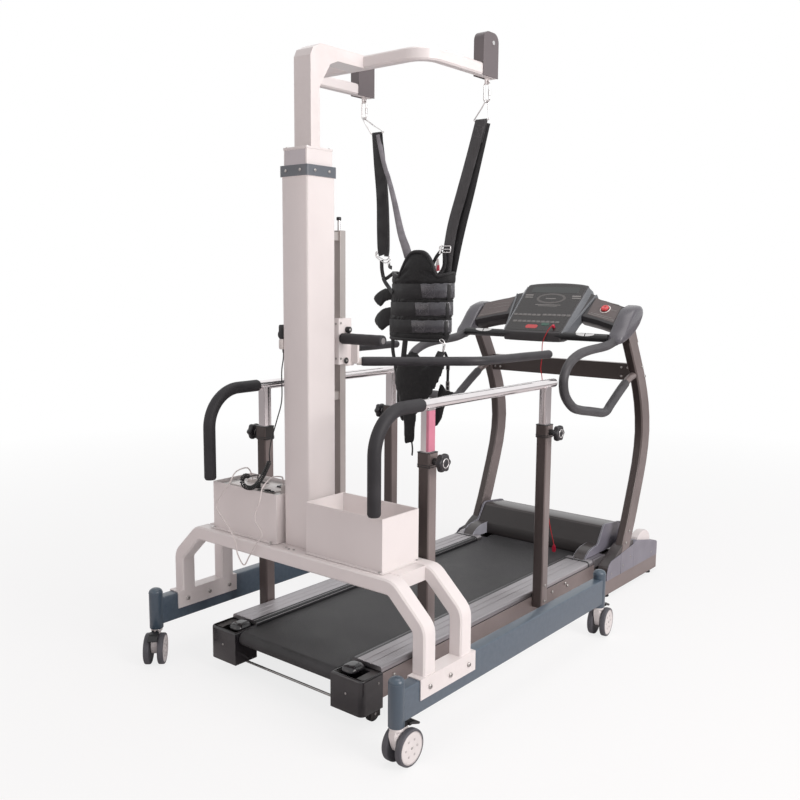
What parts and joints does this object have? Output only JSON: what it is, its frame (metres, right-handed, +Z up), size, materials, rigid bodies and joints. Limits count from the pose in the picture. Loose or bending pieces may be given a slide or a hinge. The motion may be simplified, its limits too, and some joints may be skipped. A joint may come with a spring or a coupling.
{
  "type": "gait trainer",
  "caption": "Body-weight support gantry on casters with a lifting mast, harness and foam body arms, standing over a treadmill with handrails and a console.",
  "frame": {"origin": "floor point under the middle of the bounding box", "axes": "+Z up, +Y from the gantry's column to the treadmill's console, +X to the walker's right"},
  "size_m": [1.36, 2.541, 2.5],
  "materials": {
    "left_rail": "slate blue powder coat, satin",
    "right_rail": "slate blue powder coat, satin",
    "cross_frame": "warm white powder coat, satin",
    "left_tray": "warm white powder coat, satin",
    "right_tray": "warm white powder coat, satin",
    "control_box": "silver housing, satin",
    "column": "warm white powder coat; dark collar at the top",
    "guide_rail": "satin silver",
    "hand_control": "black and white moulded switch",
    "pendant_cord": "black sheathed cord, wound part satin",
    "control_cable": "white sheathed cable",
    "mast": "warm white powder coat, satin",
    "yoke": "warm white powder coat, satin",
    "hanger_block_left": "dark brown-grey coat, satin",
    "hanger_block_right": "dark brown-grey coat, satin",
    "carabiner_left": "polished",
    "carabiner_right": "polished",
    "suspension_strap_left": "woven grey webbing with a slight sheen",
    "suspension_strap_right": "woven grey webbing with a slight sheen",
    "vest": "black padded fabric with grey bands",
    "carriage": "warm white powder coat, satin",
    "back_roller": "black foam sleeves, matte",
    "clamp_lever": "black moulded handle",
    "body_arm_left": "black foam sleeve, matte",
    "body_arm_right": "black foam sleeve, matte",
    "base_frame": "dark grey coat, satin",
    "deck_frame": "posts white, side channels brown-grey, satin",
    "running_belt": "dark grey belt with a fine weave",
    "left_foot_rail": "silver anodised, fine lengthwise grooves",
    "right_foot_rail": "silver anodised, fine lengthwise grooves",
    "rear_cap_left": "blue-grey moulded plastic, fine grain",
    "rear_cap_right": "blue-grey moulded plastic, fine grain",
    "motor_hood": "blue-grey moulded casing, satin",
    "console_frame": "light bronze-grey metallic coat",
    "handlebar_left": "black foam grip, matte",
    "handlebar_right": "black foam grip, matte",
    "console": "black display with brown-grey wings",
    "safety_lanyard": "red braided cord",
    "front_roller": "turned steel",
    "rear_roller": "turned steel",
    "rear_wheels": "black transport wheels on a steel axle",
    "stop_button": "red, glossy",
    "handrail_left": "polished tube; black foam on the bent rear grip",
    "handrail_right": "polished tube; black foam on the bent rear grip",
    "knob_rear_left": "black star knob with a bright disc",
    "knob_front_left": "black star knob with a bright disc",
    "knob_rear_right": "black star knob with a bright disc",
    "knob_front_right": "black star knob with a bright disc",
    "caster_housing_rear_right": "warm white moulded plastic",
    "caster_wheels_rear_right": "dark grey tread with white side discs",
    "caster_pedal_rear_right": "black brake pedal",
    "caster_housing_rear_left": "warm white moulded plastic",
    "caster_wheels_rear_left": "dark grey tread with white side discs",
    "caster_pedal_rear_left": "black brake pedal",
    "caster_housing_front_right": "warm white moulded plastic",
    "caster_wheels_front_right": "dark grey tread with white side discs",
    "caster_pedal_front_right": "black brake pedal",
    "caster_housing_front_left": "warm white moulded plastic",
    "caster_wheels_front_left": "dark grey tread with white side discs",
    "caster_pedal_front_left": "black brake pedal"
  },
  "bodies": {
    "gantry": {"left_rail": "left_rail", "right_rail": "right_rail", "cross_frame": "cross_frame", "left_tray": "left_tray", "right_tray": "right_tray", "control_box": "control_box", "column": "column", "guide_rail": "guide_rail", "hand_control": "hand_control", "pendant_cord": "pendant_cord", "control_cable": "control_cable"},
    "mast": {"mast": "mast", "yoke": "yoke", "hanger_block_left": "hanger_block_left", "hanger_block_right": "hanger_block_right"},
    "harness": {"carabiner_left": "carabiner_left", "carabiner_right": "carabiner_right", "suspension_strap_left": "suspension_strap_left", "suspension_strap_right": "suspension_strap_right", "vest": "vest"},
    "carriage": {"carriage": "carriage", "back_roller": "back_roller"},
    "clamp_lever": {"clamp_lever": "clamp_lever"},
    "body_arm_left": {"body_arm_left": "body_arm_left"},
    "body_arm_right": {"body_arm_right": "body_arm_right"},
    "treadmill": {"base_frame": "base_frame", "deck_frame": "deck_frame", "running_belt": "running_belt", "left_foot_rail": "left_foot_rail", "right_foot_rail": "right_foot_rail", "rear_cap_left": "rear_cap_left", "rear_cap_right": "rear_cap_right", "motor_hood": "motor_hood", "console_frame": "console_frame", "handlebar_left": "handlebar_left", "handlebar_right": "handlebar_right", "console": "console", "safety_lanyard": "safety_lanyard"},
    "front_roller": {"front_roller": "front_roller"},
    "rear_roller": {"rear_roller": "rear_roller"},
    "rear_wheels": {"rear_wheels": "rear_wheels"},
    "stop_button": {"stop_button": "stop_button"},
    "handrail_left": {"handrail_left": "handrail_left"},
    "handrail_right": {"handrail_right": "handrail_right"},
    "knob_rear_left": {"knob_rear_left": "knob_rear_left"},
    "knob_front_left": {"knob_front_left": "knob_front_left"},
    "knob_rear_right": {"knob_rear_right": "knob_rear_right"},
    "knob_front_right": {"knob_front_right": "knob_front_right"},
    "caster_rear_right": {"caster_housing_rear_right": "caster_housing_rear_right"},
    "wheels_rear_right": {"caster_wheels_rear_right": "caster_wheels_rear_right"},
    "pedal_rear_right": {"caster_pedal_rear_right": "caster_pedal_rear_right"},
    "caster_rear_left": {"caster_housing_rear_left": "caster_housing_rear_left"},
    "wheels_rear_left": {"caster_wheels_rear_left": "caster_wheels_rear_left"},
    "pedal_rear_left": {"caster_pedal_rear_left": "caster_pedal_rear_left"},
    "caster_front_right": {"caster_housing_front_right": "caster_housing_front_right"},
    "wheels_front_right": {"caster_wheels_front_right": "caster_wheels_front_right"},
    "pedal_front_right": {"caster_pedal_front_right": "caster_pedal_front_right"},
    "caster_front_left": {"caster_housing_front_left": "caster_housing_front_left"},
    "wheels_front_left": {"caster_wheels_front_left": "caster_wheels_front_left"},
    "pedal_front_left": {"caster_pedal_front_left": "caster_pedal_front_left"}
  },
  "joints": [
    {"name": "mast_lift", "type": "slide", "parent": "gantry", "child": "mast", "axis": [0, 0, 1], "range_m": [0, 0.45]},
    {"name": "harness_swing", "type": "hinge", "parent": "mast", "child": "harness", "pos_m": [0.00204, -0.26247, 2.321], "axis": [1, 0, 0], "range_deg": [-10, 25]},
    {"name": "carriage_slide", "type": "slide", "parent": "gantry", "child": "carriage", "axis": [0, 0, 1], "range_m": [-0.07, 0.28]},
    {"name": "clamp_lever_turn", "type": "hinge", "parent": "carriage", "child": "clamp_lever", "pos_m": [0.06904, -0.78247, 1.37], "axis": [1, 0, 0], "range_deg": [0, 60]},
    {"name": "body_arm_fold_left", "type": "hinge", "parent": "carriage", "child": "body_arm_left", "pos_m": [-0.04296, -0.72247, 1.245], "axis": [1, 0, 0], "range_deg": [0, 85]},
    {"name": "body_arm_fold_right", "type": "hinge", "parent": "carriage", "child": "body_arm_right", "pos_m": [0.04704, -0.72247, 1.245], "axis": [1, 0, 0], "range_deg": [0, 85]},
    {"name": "treadmill_slide", "type": "slide", "parent": "gantry", "child": "treadmill", "axis": [0, 1, 0], "range_m": [0, 0.6]},
    {"name": "front_roller_spin", "type": "hinge", "parent": "treadmill", "child": "front_roller", "pos_m": [0.00204, 0.73253, 0.1522], "axis": [1, 0, 0], "continuous": true},
    {"name": "rear_roller_spin", "type": "hinge", "parent": "treadmill", "child": "rear_roller", "pos_m": [0.00204, -1.03897, 0.1522], "axis": [1, 0, 0], "continuous": true},
    {"name": "rear_wheels_spin", "type": "hinge", "parent": "treadmill", "child": "rear_wheels", "pos_m": [0.00204, -0.99447, 0.03], "axis": [1, 0, 0], "continuous": true},
    {"name": "stop_button_press", "type": "slide", "parent": "treadmill", "child": "stop_button", "axis": [0, -0.666, 0.746], "range_m": [-0.004, 0], "stiffness_N_per_m": 900},
    {"name": "handrail_slide_left", "type": "slide", "parent": "treadmill", "child": "handrail_left", "axis": [0, 0, 1], "range_m": [-0.06, 0.07]},
    {"name": "knob_rear_left_turn", "type": "hinge", "parent": "treadmill", "child": "knob_rear_left", "pos_m": [-0.48811, -0.75747, 0.915], "axis": [1, 0, 0], "continuous": true},
    {"name": "knob_front_left_turn", "type": "hinge", "parent": "treadmill", "child": "knob_front_left", "pos_m": [-0.48811, 0.06553, 0.915], "axis": [1, 0, 0], "continuous": true},
    {"name": "handrail_slide_right", "type": "slide", "parent": "treadmill", "child": "handrail_right", "axis": [0, 0, 1], "range_m": [-0.06, 0.07]},
    {"name": "knob_rear_right_turn", "type": "hinge", "parent": "treadmill", "child": "knob_rear_right", "pos_m": [0.49219, -0.75747, 0.915], "axis": [1, 0, 0], "continuous": true},
    {"name": "knob_front_right_turn", "type": "hinge", "parent": "treadmill", "child": "knob_front_right", "pos_m": [0.49219, 0.06553, 0.915], "axis": [1, 0, 0], "continuous": true},
    {"name": "swivel_rear_right", "type": "hinge", "parent": "gantry", "child": "caster_rear_right", "pos_m": [0.63804, -1.17647, 0.15], "axis": [0, 0, 1], "continuous": true},
    {"name": "roll_rear_right", "type": "hinge", "parent": "caster_rear_right", "child": "wheels_rear_right", "pos_m": [0.63804, -1.14347, 0.0625], "axis": [1, 0, 0], "continuous": true},
    {"name": "brake_rear_right", "type": "hinge", "parent": "caster_rear_right", "child": "pedal_rear_right", "pos_m": [0.63804, -1.14147, 0.1325], "axis": [1, 0, 0], "range_deg": [-6, 0]},
    {"name": "swivel_rear_left", "type": "hinge", "parent": "gantry", "child": "caster_rear_left", "pos_m": [-0.63396, -1.17647, 0.15], "axis": [0, 0, 1], "continuous": true},
    {"name": "roll_rear_left", "type": "hinge", "parent": "caster_rear_left", "child": "wheels_rear_left", "pos_m": [-0.61145, -1.2006, 0.0625], "axis": [-0.7314, -0.682, 0], "continuous": true},
    {"name": "brake_rear_left", "type": "hinge", "parent": "caster_rear_left", "child": "pedal_rear_left", "pos_m": [-0.61009, -1.20207, 0.1325], "axis": [-0.7314, -0.682, 0], "range_deg": [-6, 0]},
    {"name": "swivel_front_right", "type": "hinge", "parent": "gantry", "child": "caster_front_right", "pos_m": [0.63804, 0.22053, 0.15], "axis": [0, 0, 1], "continuous": true},
    {"name": "roll_front_right", "type": "hinge", "parent": "caster_front_right", "child": "wheels_front_right", "pos_m": [0.63345, 0.25321, 0.0625], "axis": [0.9903, 0.1392, 0], "continuous": true},
    {"name": "brake_front_right", "type": "hinge", "parent": "caster_front_right", "child": "pedal_front_right", "pos_m": [0.63317, 0.25519, 0.1325], "axis": [0.9903, 0.1392, 0], "range_deg": [-6, 0]},
    {"name": "swivel_front_left", "type": "hinge", "parent": "gantry", "child": "caster_front_left", "pos_m": [-0.63396, 0.22053, 0.15], "axis": [0, 0, 1], "continuous": true},
    {"name": "roll_front_left", "type": "hinge", "parent": "caster_front_left", "child": "wheels_front_left", "pos_m": [-0.62937, 0.25321, 0.0625], "axis": [0.9903, -0.1392, 0], "continuous": true},
    {"name": "brake_front_left", "type": "hinge", "parent": "caster_front_left", "child": "pedal_front_left", "pos_m": [-0.62909, 0.25519, 0.1325], "axis": [0.9903, -0.1392, 0], "range_deg": [-6, 0]}
  ],
  "couplings": [
    {"joint": "rear_roller_spin", "follows": "front_roller_spin", "ratio": 1}
  ]
}
